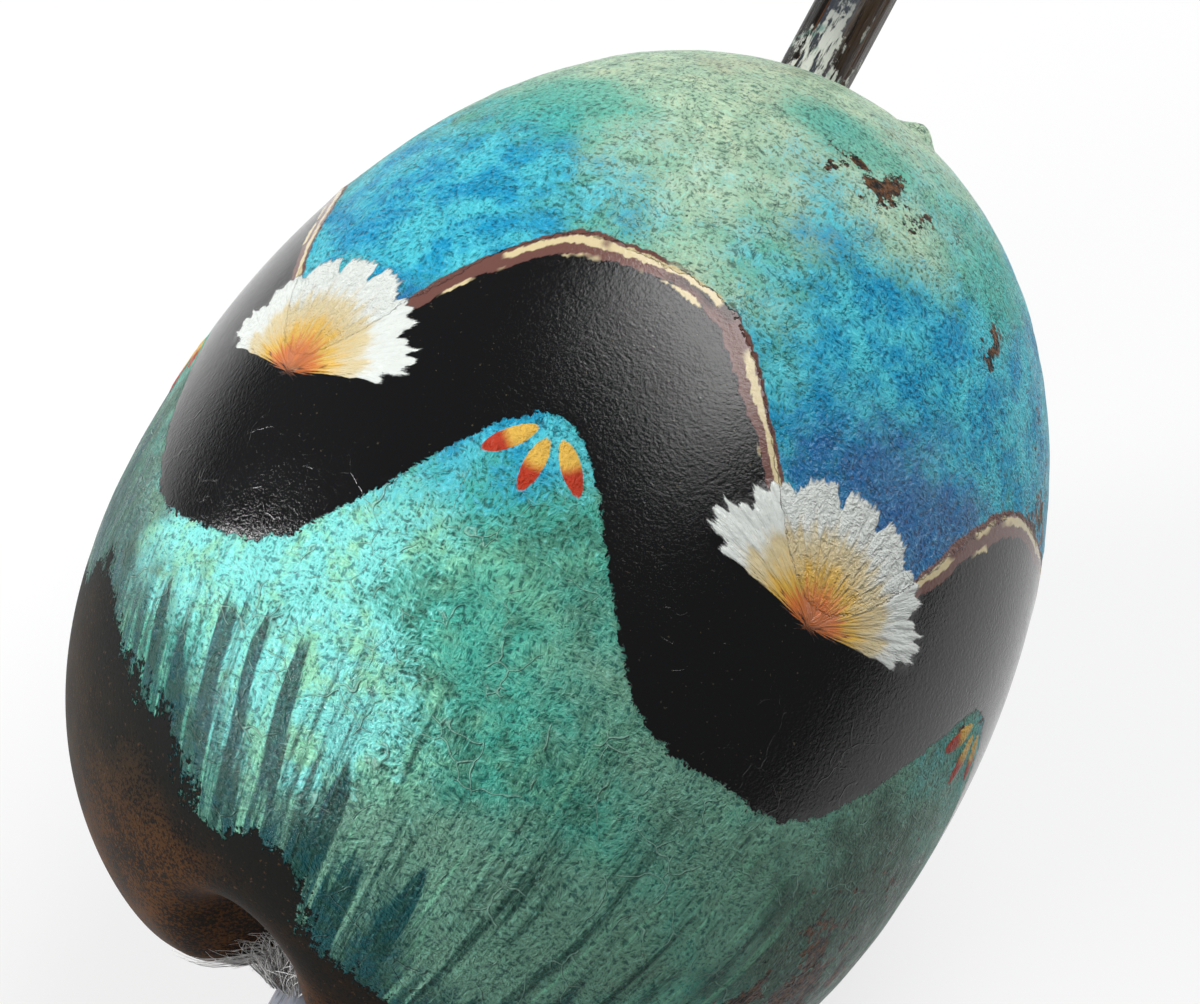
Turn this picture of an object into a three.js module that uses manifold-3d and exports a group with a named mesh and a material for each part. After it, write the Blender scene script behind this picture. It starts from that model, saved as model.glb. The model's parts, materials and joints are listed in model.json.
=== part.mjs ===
// A hand rattle made from a dried gourd. The hollow gourd is drilled through from crown to base and set on
// one straight octagonal stick, which is the handle below and a short stub above. A strip of furred hide is
// wound round the stick and wedges it in the base hole, glue holds it in the crown hole, and loose pebbles
// inside the gourd make the sound.
//
// The rattle is built upright in its own frame: +Y runs along the stick to the crown, and +Z is its face.
// It is then laid on its back, on the belly of the gourd and the butt of the handle, with +Z up.
import * as THREE from "three";
import { mergeVertices } from "three/addons/utils/BufferGeometryUtils.js";
import Module from "manifold-3d";

const wasm = await Module();
wasm.setup();

// Gourd, in millimetres. Heights are measured from the belly, the widest ring.
const BELLY_RADIUS = 63.2;
const CROWN_HEIGHT = 87.5;
const BASE_DEPTH = 71.8; // before the dimple is pressed in
const CROWN_ROUNDNESS = 2.04; // exponent of a superellipse: 2 is an ellipse, more is fuller
const BASE_ROUNDNESS = 2.4;
const DIMPLE_DEPTH = 17; // the hollow round the old stalk
const DIMPLE_WIDTH = 13;
const FOLDS = 3; // grooves that run out from the dimple, one for each seed chamber of the fruit
const FOLD_DEPTH = 11;
const FOLD_WIDTH = 8;
const FOLD_REACH = 28; // from the gourd's axis
const FOLD_TURN = THREE.MathUtils.degToRad(98); // of the first fold, from +X towards the face
const FOLD_BLEND = 4; // a higher power makes a sharper edge between the folds and the dimple
const WALL = 4;
const LEAN = THREE.MathUtils.degToRad(3.4); // the gourd grew a little askew to the stick that goes through it
const GROUND_SPOT = 0.5; // depth of the flat that the gourd grew and still lies on

// Scar of the flower, a small nub beside the crown.
const NUB_OFFSET = 16; // from the gourd's own pole
const NUB_TURN = THREE.MathUtils.degToRad(42); // round the crown, from +X towards the face
const NUB_RADIUS = 6.5;
const NUB_HEIGHT = 2.2;
const NUB_SINK = 0.3; // its edge runs out under the skin by this much

// Stick.
const STICK_FLATS = 10.8; // across two opposite flats
const STICK_SIDES = 8;
const GRIP_LENGTH = 125; // below the base of the gourd
const STUB_LENGTH = 30; // above the crown
const END_CHAMFER = 0.9;

// Furred hide strip, wound round the stick in the base hole.
const HIDE_THICKNESS = 1.2;
const HIDE_TURNS = 1.25;
const HIDE_LAYER_GAP = 0.5; // between the layers of the winding
const HIDE_WIDTH = 11; // along the stick
const HIDE_INSIDE = 5; // how far it reaches into the gourd
const FUR_RADIUS = 14; // the fur stands off the stick by this much
const FUR_HANG = 3; // how far it hangs below the edge of the hole

// Glue round the stick at the crown.
const GLUE_REACH = 1.8;
const GLUE_RISE = 1.5;

// Pebbles.
const PEBBLE_COUNT = 24;
const PEBBLE_LONGEST = 8;
const PEBBLE_SHORTEST = 5.6;
const PEBBLE_BREADTH = 0.82; // share of its length
const PEBBLE_HEIGHT = 0.62; // share of its length
const PEBBLE_LUMPS = 0.07; // how far its surface departs from an ellipsoid, as a share
const LENGTH_SEED = 0.5; // starts of the even spreads that give each pebble its length, shade and lumps
const SHADE_SEED = 0.1;
const LUMP_SEED = 0.3;

// Colours.
const PAINT = 0x2f8f8a;
const STAIN = 0x2a211c;
const DRY_GLUE = 0xd9d8cc;
const RAW_HIDE = 0xb59a7a;
const GREY_FUR = 0x8d877f;
const DARK_STONE = 0x565045;
const PALE_STONE = 0xa5998d;

// Clearances.
const SEAT_GAP = 0.3; // between pieces that touch
const PEBBLE_ROOM = 1.1; // spacing of the pebbles over their greatest length

// Fineness of the round surfaces.
const OUTER_SEGMENTS = 64;
const OUTER_STEPS = 40;
const INNER_SEGMENTS = 40;
const INNER_STEPS = 24;
const RING_SEGMENTS = 32; // holes, fur and glue
const NUB_SEGMENTS = 20;
const NUB_STEPS = 8;
const HIDE_STEPS = 40;
const FUR_STEPS = 8;
const FINE_ANGLE = 1e-3; // radians, for slopes
const HALVINGS = 50;
const CUT_LENGTH = 2 * (GRIP_LENGTH + BASE_DEPTH + CROWN_HEIGHT + STUB_LENGTH); // of cutting tools

const GOLDEN_SHARE = (Math.sqrt(5) - 1) / 2;
const GOLDEN_ANGLE = 2 * Math.PI * (1 - GOLDEN_SHARE);
const SUNFLOWER_PITCH = Math.sqrt(3); // seeds in a sunflower pattern lie about this many pitches apart

// Stick sizes that follow from its flats.
const stickCorner = STICK_FLATS / 2 / Math.cos(Math.PI / STICK_SIDES);
const hidePitch = HIDE_THICKNESS + HIDE_LAYER_GAP;
const hideBore = stickCorner + SEAT_GAP;
const hideOuter = hideBore + hidePitch * HIDE_TURNS + HIDE_THICKNESS;

// Joining and cutting

// A closed geometry as a solid.
function solid(geometry) {
  const bare = geometry.clone();
  bare.deleteAttribute("normal");
  bare.deleteAttribute("uv");
  const merged = mergeVertices(bare);
  return new wasm.Manifold(
    new wasm.Mesh({
      numProp: 3,
      vertProperties: merged.attributes.position.array,
      triVerts: new Uint32Array(merged.index.array),
    }),
  );
}

// A solid's faces as a geometry.
function faces(made) {
  const mesh = made.getMesh();
  const geometry = new THREE.BufferGeometry();
  geometry.setAttribute("position", new THREE.BufferAttribute(mesh.vertProperties, mesh.numProp));
  geometry.setIndex(new THREE.BufferAttribute(mesh.triVerts, 1));
  geometry.computeVertexNormals();
  return geometry;
}

// The point of a geometry that lies furthest in a direction.
function furthest(geometry, direction) {
  const points = geometry.attributes.position;
  const point = new THREE.Vector3();
  const best = new THREE.Vector3().fromBufferAttribute(points, 0);
  for (let i = 1; i < points.count; i++) {
    point.fromBufferAttribute(points, i);
    if (point.dot(direction) > best.dot(direction)) best.copy(point);
  }
  return best;
}

// How far a geometry reaches in a direction.
function reach(geometry, direction) {
  return furthest(geometry, direction).dot(direction);
}

// Gourd

// How far the dimple is pressed in at a distance from the axis.
function dimple(radius) {
  return DIMPLE_DEPTH * Math.exp(-((radius / DIMPLE_WIDTH) ** 2));
}

// How much further the folds press the base in at a point.
function foldRise(x, z) {
  const hollow = dimple(Math.hypot(x, z));
  let blend = hollow ** FOLD_BLEND;
  for (let i = 0; i < FOLDS; i++) {
    const angle = FOLD_TURN + (2 * Math.PI * i) / FOLDS;
    const out = x * Math.cos(angle) + z * Math.sin(angle);
    const aside = z * Math.cos(angle) - x * Math.sin(angle);
    const beyond = out - THREE.MathUtils.clamp(out, 0, FOLD_REACH);
    const fold = FOLD_DEPTH * Math.exp(-((Math.hypot(aside, beyond) / FOLD_WIDTH) ** 2));
    blend += fold ** FOLD_BLEND;
  }
  return blend ** (1 / FOLD_BLEND) - hollow;
}

// Presses the folds into the lower half of a turned form.
function folded(geometry) {
  const points = geometry.attributes.position;
  for (let i = 0; i < points.count; i++) {
    const height = points.getY(i);
    if (height < 0) points.setY(i, height + foldRise(points.getX(i), points.getZ(i)));
  }
  return geometry;
}

// A point of the gourd's outline at an angle from its base: 0 is the base, half a turn is the crown.
function outlinePoint(angle) {
  const above = angle > Math.PI / 2;
  const power = 2 / (above ? CROWN_ROUNDNESS : BASE_ROUNDNESS);
  const radius = BELLY_RADIUS * Math.max(Math.sin(angle), 0) ** power;
  const rise = Math.abs(Math.cos(angle)) ** power;
  if (above) return new THREE.Vector2(radius, CROWN_HEIGHT * rise);
  return new THREE.Vector2(radius, dimple(radius) - BASE_DEPTH * rise);
}

// Outward direction of the outline at an angle.
function outlineNormal(angle) {
  const along = outlinePoint(angle + FINE_ANGLE).sub(outlinePoint(angle - FINE_ANGLE));
  return new THREE.Vector2(along.y, -along.x).normalize();
}

// The outline's angle at a distance from the axis, on the side of the crown.
function crownAngle(radius) {
  return Math.PI - Math.asin((radius / BELLY_RADIUS) ** (CROWN_ROUNDNESS / 2));
}

// The same on the side of the base.
function baseAngle(radius) {
  return Math.asin((radius / BELLY_RADIUS) ** (BASE_ROUNDNESS / 2));
}

// The outline moved inwards by an inset, from the base to the crown, with both ends on the axis.
function outline(inset, steps) {
  const points = [];
  for (let i = 0; i <= steps; i++) {
    const angle = (Math.PI * i) / steps;
    if (i === 0 || i === steps) {
      const pole = outlinePoint(angle);
      points.push(new THREE.Vector2(0, pole.y + (i === 0 ? inset : -inset)));
    } else {
      points.push(outlinePoint(angle).addScaledVector(outlineNormal(angle), -inset));
    }
  }
  return points;
}

// The gourd leans about the middle of its base.
const leaning = new THREE.Matrix4()
  .makeTranslation(0, -BASE_DEPTH, 0)
  .multiply(new THREE.Matrix4().makeRotationZ(-LEAN))
  .multiply(new THREE.Matrix4().makeTranslation(0, BASE_DEPTH, 0));

function gourdForm(inset, steps, segments) {
  return folded(new THREE.LatheGeometry(outline(inset, steps), segments)).applyMatrix4(leaning);
}

// The nub is a bell that stands on the crown along the surface's own direction.
function nubForm() {
  const root = -WALL / 2;
  const profile = [new THREE.Vector2(0, root), new THREE.Vector2(NUB_RADIUS, root)];
  for (let i = 0; i <= NUB_STEPS; i++) {
    const radius = NUB_RADIUS * (1 - i / NUB_STEPS);
    const bell = (1 + Math.cos((Math.PI * radius) / NUB_RADIUS)) / 2;
    profile.push(new THREE.Vector2(radius, NUB_HEIGHT * bell ** 2 - NUB_SINK));
  }
  const seat = outlinePoint(crownAngle(NUB_OFFSET));
  const normal = outlineNormal(crownAngle(NUB_OFFSET));
  const placed = new THREE.Matrix4()
    .makeRotationY(-NUB_TURN)
    .multiply(new THREE.Matrix4().makeTranslation(seat.x, seat.y, 0))
    .multiply(new THREE.Matrix4().makeRotationZ(-Math.atan2(normal.x, normal.y)));
  return new THREE.LatheGeometry(profile, NUB_SEGMENTS).applyMatrix4(placed).applyMatrix4(leaning);
}

const outerForm = gourdForm(0, OUTER_STEPS, OUTER_SEGMENTS);
const chamberForm = gourdForm(WALL, INNER_STEPS, INNER_SEGMENTS);

// Where the stick's axis goes through the gourd, and how far the crown slopes there.
const poleShift = Math.sin(LEAN) * (CROWN_HEIGHT + BASE_DEPTH);
const crownSeat = outlinePoint(crownAngle(poleShift)).y;
const crownNormal = outlineNormal(crownAngle(poleShift));
const crownSlope = Math.atan2(crownNormal.x, crownNormal.y) - LEAN;
const dimpleTop = outlinePoint(0).y;
const holeRadius = hideOuter + SEAT_GAP;
const holeSeat = outlinePoint(baseAngle(holeRadius)).y;
const baseRim = furthest(outerForm, new THREE.Vector3(0, -1, 0)).y;

// Stick

// An octagon with a flat to the front and a flat to the back, grown by a margin on every side.
function octagon(margin) {
  const corner = (STICK_FLATS / 2 + margin) / Math.cos(Math.PI / STICK_SIDES);
  const points = [];
  for (let i = 0; i < STICK_SIDES; i++) {
    const angle = (2 * Math.PI * (i + 0.5)) / STICK_SIDES;
    points.push(new THREE.Vector2(corner * Math.cos(angle), corner * Math.sin(angle)));
  }
  return new THREE.Shape(points);
}

// A prism along the stick's axis between two heights, with chamfered ends.
function prism(shape, from, to, chamfer) {
  const settings = {
    depth: to - from - 2 * chamfer,
    bevelEnabled: chamfer > 0,
    bevelThickness: chamfer,
    bevelSize: chamfer,
    bevelOffset: -chamfer,
    bevelSegments: 1,
    curveSegments: 1,
  };
  return new THREE.ExtrudeGeometry(shape, settings).rotateX(-Math.PI / 2).translate(0, from + chamfer, 0);
}

const buttHeight = baseRim - GRIP_LENGTH;
const tipHeight = crownSeat + STUB_LENGTH;
const stickForm = prism(octagon(0), buttHeight, tipHeight, END_CHAMFER);

// How the rattle lies

// Straight down, in the rattle's own frame, when the crown is raised by a tilt.
function downwards(tilt) {
  return new THREE.Vector3(0, -Math.sin(tilt), -Math.cos(tilt));
}

// The tilt at which the ground spot and the butt meet one flat surface, found by halving.
function lyingTilt() {
  let low = 0;
  let high = Math.PI / 4;
  for (let i = 0; i < HALVINGS; i++) {
    const middle = (low + high) / 2;
    const down = downwards(middle);
    if (reach(outerForm, down) - GROUND_SPOT > reach(stickForm, down)) low = middle;
    else high = middle;
  }
  return (low + high) / 2;
}

const tilt = lyingTilt();
const down = downwards(tilt);
const groundDistance = reach(outerForm, down) - GROUND_SPOT;

// A block below the surface that the rattle lies on.
function groundBlock() {
  const block = new THREE.BoxGeometry(CUT_LENGTH, CUT_LENGTH, CUT_LENGTH);
  block.translate(0, 0, -CUT_LENGTH / 2).rotateX(-tilt);
  return block.translate(down.x * groundDistance, down.y * groundDistance, down.z * groundDistance);
}

// A drill along the stick's axis from one height upwards or downwards.
function drill(radius, from, way) {
  const middle = from + (way * CUT_LENGTH) / 2;
  return new THREE.CylinderGeometry(radius, radius, CUT_LENGTH, RING_SEGMENTS).translate(0, middle, 0);
}

function gourdShell() {
  const shell = solid(outerForm)
    .add(solid(nubForm()))
    .subtract(solid(chamberForm))
    .subtract(solid(drill(stickCorner + SEAT_GAP, 0, 1)))
    .subtract(solid(drill(holeRadius, 0, -1)))
    .subtract(solid(groundBlock()));
  return faces(shell);
}

// Hide and fur

// The strip seen along the stick: a band that winds outwards, with a gap between its layers.
function hideWinding() {
  const inside = [];
  const outside = [];
  for (let i = 0; i <= HIDE_STEPS; i++) {
    const turned = (HIDE_TURNS * i) / HIDE_STEPS;
    const angle = 2 * Math.PI * turned;
    const ray = new THREE.Vector2(Math.cos(angle), Math.sin(angle));
    const radius = hideBore + hidePitch * turned;
    inside.push(ray.clone().multiplyScalar(radius));
    outside.unshift(ray.clone().multiplyScalar(radius + HIDE_THICKNESS));
  }
  return new THREE.Shape([...inside, ...outside]);
}

const hideTop = holeSeat + WALL + HIDE_INSIDE;

function hideStrip() {
  return prism(hideWinding(), hideTop - HIDE_WIDTH, hideTop, 0);
}

// The fur is a ring round the hide that fills the dimple and its folds, cut clear of the gourd, with a round
// lower edge.
function furCollar() {
  const breadth = FUR_RADIUS - holeRadius;
  const skirt = new THREE.EllipseCurve(holeRadius, holeSeat, breadth, FUR_HANG, 0, -Math.PI / 2, true);
  const profile = [
    new THREE.Vector2(holeRadius, dimpleTop),
    new THREE.Vector2(FUR_RADIUS, dimpleTop),
    ...skirt.getPoints(FUR_STEPS),
    new THREE.Vector2(holeRadius, dimpleTop),
  ];
  const ring = solid(new THREE.LatheGeometry(profile.reverse(), RING_SEGMENTS));
  return faces(ring.subtract(solid(gourdForm(-SEAT_GAP, OUTER_STEPS, OUTER_SEGMENTS))));
}

// Glue

// A fillet between the crown and the stick, clear of both, that stands square to the sloping crown.
function glueBead() {
  const rim = stickCorner + GLUE_REACH;
  const profile = [
    new THREE.Vector2(0, -WALL),
    new THREE.Vector2(rim, -WALL),
    new THREE.Vector2(rim, GLUE_RISE / 3),
    new THREE.Vector2(stickCorner + GLUE_REACH / 2, GLUE_RISE / 2),
    new THREE.Vector2(stickCorner, GLUE_RISE),
    new THREE.Vector2(0, GLUE_RISE),
  ];
  const form = new THREE.LatheGeometry(profile, RING_SEGMENTS).rotateZ(crownSlope).translate(0, crownSeat, 0);
  const bead = solid(form)
    .subtract(solid(gourdForm(-SEAT_GAP, OUTER_STEPS, OUTER_SEGMENTS)))
    .subtract(solid(prism(octagon(SEAT_GAP), buttHeight, tipHeight, 0)));
  return faces(bead);
}

// Pebbles

// A share between 0 and 1 that is spread evenly over the pebbles.
function spread(index, seed) {
  return (index * GOLDEN_SHARE + seed) % 1;
}

// A rounded, lumpy stone that lies flat: its height is along its own Z.
function pebbleForm(index, length) {
  const form = new THREE.IcosahedronGeometry(1, 1);
  const points = form.attributes.position;
  const phase = 2 * Math.PI * spread(index, LUMP_SEED);
  const point = new THREE.Vector3();
  for (let i = 0; i < points.count; i++) {
    point.fromBufferAttribute(points, i);
    const lump = Math.sin(2 * point.x + phase) * Math.cos(3 * point.y - phase);
    points.setXYZ(i, ...point.multiplyScalar(1 - PEBBLE_LUMPS + PEBBLE_LUMPS * lump));
  }
  return form.scale(length / 2, (length * PEBBLE_BREADTH) / 2, (length * PEBBLE_HEIGHT) / 2);
}

// Where a pebble lies: dropped straight down on to the floor of the chamber, in a sunflower pattern round its
// lowest point. Gives the point on the floor and the direction away from it.
function pebbleSeat(index, chamber, lowest) {
  const across = new THREE.Vector3(1, 0, 0);
  const along = new THREE.Vector3().crossVectors(across, down);
  const distance = (PEBBLE_LONGEST * PEBBLE_ROOM * Math.sqrt(index + 0.5)) / SUNFLOWER_PITCH;
  const angle = index * GOLDEN_ANGLE;
  const start = new THREE.Vector3()
    .addScaledVector(along, lowest.dot(along) + distance * Math.cos(angle))
    .addScaledVector(across, lowest.dot(across) + distance * Math.sin(angle));
  const [floor] = new THREE.Raycaster(start, down).intersectObject(chamber);
  const away = floor.face.normal.clone();
  if (away.dot(down) > 0) away.negate();
  return { point: floor.point, away };
}

function pebbles() {
  const chamber = new THREE.Mesh(chamberForm, new THREE.MeshBasicMaterial({ side: THREE.DoubleSide }));
  const lowest = furthest(chamberForm, down);
  const stones = [];
  for (let i = 0; i < PEBBLE_COUNT; i++) {
    const length = THREE.MathUtils.lerp(PEBBLE_SHORTEST, PEBBLE_LONGEST, spread(i, LENGTH_SEED));
    const color = new THREE.Color(DARK_STONE).lerp(new THREE.Color(PALE_STONE), spread(i, SHADE_SEED));
    const seat = pebbleSeat(i, chamber, lowest);
    const stone = piece(`pebble_${String(i + 1).padStart(2, "0")}`, pebbleForm(i, length), color, 0.75);
    stone.position.copy(seat.point).addScaledVector(seat.away, (length * PEBBLE_HEIGHT) / 2 + SEAT_GAP);
    stone.quaternion.setFromUnitVectors(new THREE.Vector3(0, 0, 1), seat.away);
    stone.rotateZ(i * GOLDEN_ANGLE);
    stones.push(stone);
  }
  return stones;
}

// Assembly

function piece(name, geometry, color, roughness) {
  const mesh = new THREE.Mesh(geometry, new THREE.MeshStandardMaterial({ color, roughness, metalness: 0 }));
  mesh.name = name;
  return mesh;
}

const rattle = new THREE.Group();
rattle.add(
  piece("gourd_shell", gourdShell(), PAINT, 0.4),
  piece("handle_stick", stickForm, STAIN, 0.55),
  piece("crown_glue_bead", glueBead(), DRY_GLUE, 0.35),
  piece("fur_hide_strip", hideStrip(), RAW_HIDE, 0.8),
  piece("fur_collar", furCollar(), GREY_FUR, 0.9),
  ...pebbles(),
);
rattle.rotation.z = -Math.PI / 2; // the stick lies along +X, with the face up

const lying = new THREE.Group();
lying.add(rattle);
lying.rotation.y = -tilt; // the crown is raised until the butt meets the ground

// The origin is on the ground, under the middle of the rattle.
const part = new THREE.Group();
part.add(lying);
part.updateMatrixWorld(true);
const box = new THREE.Box3().setFromObject(part, true);
const centre = box.getCenter(new THREE.Vector3());
lying.position.set(-centre.x, -centre.y, -box.min.z);

export default part;
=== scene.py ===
# %% [markdown]
# # A gourd rattle
# A hand rattle is a hollow gourd on a stick with a few pebbles inside. This one lies on a table. Its plain
# solids come from a CAD model, which is loaded first and stays as a fixed frame. Each step below makes one
# piece of the real thing over its plain solid, gives it a finish, and lets it ride on the same body.

# %% Load the frame
import json

import bpy
import numpy as np
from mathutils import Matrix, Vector, noise


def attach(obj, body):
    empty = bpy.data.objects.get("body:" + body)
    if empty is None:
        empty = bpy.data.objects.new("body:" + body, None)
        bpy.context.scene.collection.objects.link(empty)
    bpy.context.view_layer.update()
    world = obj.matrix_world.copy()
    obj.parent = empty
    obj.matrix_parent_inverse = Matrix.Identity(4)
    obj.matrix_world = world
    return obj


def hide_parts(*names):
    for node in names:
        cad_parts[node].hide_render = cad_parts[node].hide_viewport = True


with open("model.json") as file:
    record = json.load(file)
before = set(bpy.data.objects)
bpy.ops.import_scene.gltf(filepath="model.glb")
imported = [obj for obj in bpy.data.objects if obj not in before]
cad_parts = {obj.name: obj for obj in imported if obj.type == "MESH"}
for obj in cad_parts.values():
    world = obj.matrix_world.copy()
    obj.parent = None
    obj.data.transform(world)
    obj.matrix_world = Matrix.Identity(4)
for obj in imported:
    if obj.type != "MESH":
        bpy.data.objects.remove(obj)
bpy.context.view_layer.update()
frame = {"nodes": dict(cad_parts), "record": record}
MM = 0.001

# %% [markdown]
# ## Standing the rattle upright
# The rattle lies tilted, but a gourd is easier to think of upright, round its stick. So the pieces are worked
# out in the rattle's own directions, in millimetres from the middle of its belly: right, along the stick to
# the crown, and out of its face. One short function then lays any of those points down on the table.

# %% Own directions
GRIP_LENGTH = 125.0  # from the butt of the stick to the base of the gourd
RIM_DEPTH = 69.595  # from the belly to the base of the gourd, along the stick

mounts = {mount["name"]: mount for mount in frame["record"]["mounts"]}
along = -Vector(mounts["handle_butt"]["axis"]).normalized()
face = Vector(mounts["hand_grip"]["axis"]).normalized()
right = along.cross(face)
own_axes = np.array([right, along, face])
belly = np.array(mounts["handle_butt"]["pos_m"]) + np.array(along) * (GRIP_LENGTH + RIM_DEPTH) * MM


def lay_down(points):
    """Points in the rattle's own millimetres, as metres on the table."""
    return belly + points * MM @ own_axes


print("the belly is", round(belly[2] / MM, 1), "mm above the table")

# %% [markdown]
# ## The form of the gourd
# A gourd is round about its axis. Above the belly its outline is very nearly a half ellipse, below it is
# fuller. Where the stalk was, a dimple is left, and three folds run out of it, one for each seed chamber. The
# gourd also leans a little off the stick that goes through it. A lathe would turn such a form round its own
# axis, but it has no folds, and its rings would not fit the two holes for the stick. So rays are sent out
# from the belly in rings round the stick, and each ray is halved again and again until it ends on the skin.

# %% Form of the gourd
BELLY_RADIUS, CROWN_HEIGHT, BASE_DEPTH = 63.2, 87.5, 71.8
CROWN_ROUNDNESS, BASE_ROUNDNESS = 2.04, 2.4
DIMPLE_DEPTH, DIMPLE_WIDTH = 17.0, 13.0
FULL_TURN = 2 * np.pi
FOLDS, FOLD_TURN, FOLD_BLEND = 3, np.radians(98), 4
FOLD_DEPTH, FOLD_WIDTH, FOLD_REACH = 11.0, 8.0, 28.0
LEAN = np.radians(3.4)


def unleaned(points):
    """Undoes the lean of the gourd, about the middle of its base."""
    x, y, z = points[..., 0], points[..., 1] + BASE_DEPTH, points[..., 2]
    upright_x = np.cos(LEAN) * x - np.sin(LEAN) * y
    upright_y = np.sin(LEAN) * x + np.cos(LEAN) * y - BASE_DEPTH
    return np.stack([upright_x, upright_y, z], -1)


def crown_line(radius):
    share = np.clip(radius / BELLY_RADIUS, 0, 1)
    return CROWN_HEIGHT * (1 - share ** CROWN_ROUNDNESS) ** (1 / CROWN_ROUNDNESS)


def base_line(x, z):
    radius = np.hypot(x, z)
    share = np.clip(radius / BELLY_RADIUS, 0, 1)
    bowl = -BASE_DEPTH * (1 - share ** BASE_ROUNDNESS) ** (1 / BASE_ROUNDNESS)
    pressed = (DIMPLE_DEPTH * np.exp(-(radius / DIMPLE_WIDTH) ** 2)) ** FOLD_BLEND
    for fold_turn in FOLD_TURN + np.arange(FOLDS) * FULL_TURN / FOLDS:
        out = x * np.cos(fold_turn) + z * np.sin(fold_turn)
        aside = z * np.cos(fold_turn) - x * np.sin(fold_turn)
        beyond = out - np.clip(out, 0, FOLD_REACH)
        fold = FOLD_DEPTH * np.exp(-(np.hypot(aside, beyond) / FOLD_WIDTH) ** 2)
        pressed = pressed + fold ** FOLD_BLEND
    return bowl + pressed ** (1 / FOLD_BLEND)


def inside_gourd(points):
    x, level, z = np.moveaxis(unleaned(points), -1, 0)
    radius = np.hypot(x, z)
    return (radius < BELLY_RADIUS) & (level < crown_line(radius)) & (level > base_line(x, z))


print("the dimple is", DIMPLE_DEPTH, "mm deep, with", FOLDS, "folds")

# %% Skin of the gourd by rays
CROWN_HOLE, BASE_HOLE, WALL = 6.15, 10.0, 4.0
LONGEST_RAY, HALVINGS = 120.0, 34


def skin_along(rays):
    """The point where each ray from the belly leaves the gourd."""
    shortest = np.zeros(rays.shape[:-1])
    longest = np.full(rays.shape[:-1], LONGEST_RAY)
    for _ in range(HALVINGS):
        middle = (shortest + longest) / 2
        within = inside_gourd(rays * middle[..., None])
        shortest = np.where(within, middle, shortest)
        longest = np.where(within, longest, middle)
    return rays * shortest[..., None]


RINGS, COLUMNS = 330, 570
turn = np.linspace(0, FULL_TURN, COLUMNS, endpoint=False)[None, :]
first = np.arctan2(CROWN_HOLE, crown_line(0.0))
hole_depth = -base_line(BASE_HOLE * np.cos(turn), BASE_HOLE * np.sin(turn))
last = np.pi - np.arctan2(BASE_HOLE, hole_depth)
fall = first + (last - first) * np.linspace(0, 1, RINGS)[:, None]
rays = np.stack([np.sin(fall) * np.cos(turn), np.cos(fall), np.sin(fall) * np.sin(turn)], -1)
skin = skin_along(rays)
spacing = FULL_TURN * BELLY_RADIUS / COLUMNS
print("skin points:", RINGS * COLUMNS, "about", round(spacing, 2), "mm apart")

# %% [markdown]
# ## The scar of the flower
# Beside the crown a gourd keeps a small nub where the flower was. Directions square to the skin are found
# from neighbouring points, and the nub is a bell that is pushed out along them.

# %% Outward directions and the nub
NUB_OFFSET, NUB_TURN = 16.0, np.radians(42)
NUB_RADIUS, NUB_HEIGHT, NUB_SINK = 6.5, 2.2, 0.3


def outward(grid):
    """Unit directions square to a grid of rings."""
    down_rows = np.gradient(grid, axis=0)
    round_rows = np.roll(grid, -1, axis=1) - np.roll(grid, 1, axis=1)
    across = np.cross(round_rows, down_rows)
    across /= np.linalg.norm(across, axis=-1, keepdims=True)
    return across * np.sign(np.sum(across[RINGS // 2] * grid[RINGS // 2]))


normal = outward(skin)
nub_seat = np.array([NUB_OFFSET * np.cos(NUB_TURN), crown_line(NUB_OFFSET), NUB_OFFSET * np.sin(NUB_TURN)])
from_nub = np.linalg.norm(unleaned(skin) - nub_seat, axis=-1)
bell = (1 + np.cos(np.pi * np.clip(from_nub / NUB_RADIUS, 0, 1))) / 2
skin = skin + normal * np.maximum(NUB_HEIGHT * bell ** 2 - NUB_SINK, 0)[..., None]
normal = outward(skin)
print("the nub stands", round(NUB_HEIGHT - NUB_SINK, 2), "mm proud")

# %% [markdown]
# ## Laying out the decoration
# The gourd carries a plain folk border: one broad black wave round its belly, with a shell of brushed petals
# in each of its bays and three drops under each crest. An image could be painted for it, but an image blurs
# when the camera comes near. So each point of the skin is given a few numbers, such as how far it lies inside
# the wave. The finish reads those numbers and roughens their edges with noise, as a brush does.

# %% Wave, shells and drops as numbers
WAVES, CREST_TURN = 5, np.radians(80)
WAVE_MIDDLE, WAVE_RISE, WAVE_HALF_WIDTH = 8.0, 15.0, 12.5
SHELL_GAP, SHELL_RADIUS, SHELL_LOBES, SHELL_SPAN = -2.5, 18.5, 7, np.radians(80)
LOBE_DEPTH = 2.2
DROP_GAP, DROP_OUT, DROP_LENGTH, DROP_HALF_WIDTH = 0.5, 6.5, 4.2, 1.4
DROP_LEANS = np.radians([-138, 180, 138])
OUTSIDE = -9.0  # a number for points that no stroke is near

height = skin[..., 1]
radius = np.hypot(skin[..., 0], skin[..., 2])
wave_step = FULL_TURN / WAVES


def from_nearest(turns, apart):
    """Millimetres round the gourd from the nearest of the places that are so far apart."""
    return radius * ((turns + apart / 2) % apart - apart / 2)


swing = WAVES * (turn - CREST_TURN)
wave_middle = WAVE_MIDDLE + WAVE_RISE * np.cos(swing)
wave_slope = WAVE_RISE * WAVES * np.sin(swing) / BELLY_RADIUS
wave_side = (height - wave_middle) / np.hypot(1, wave_slope)
wave_edge = WAVE_HALF_WIDTH - np.abs(wave_side)

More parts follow.
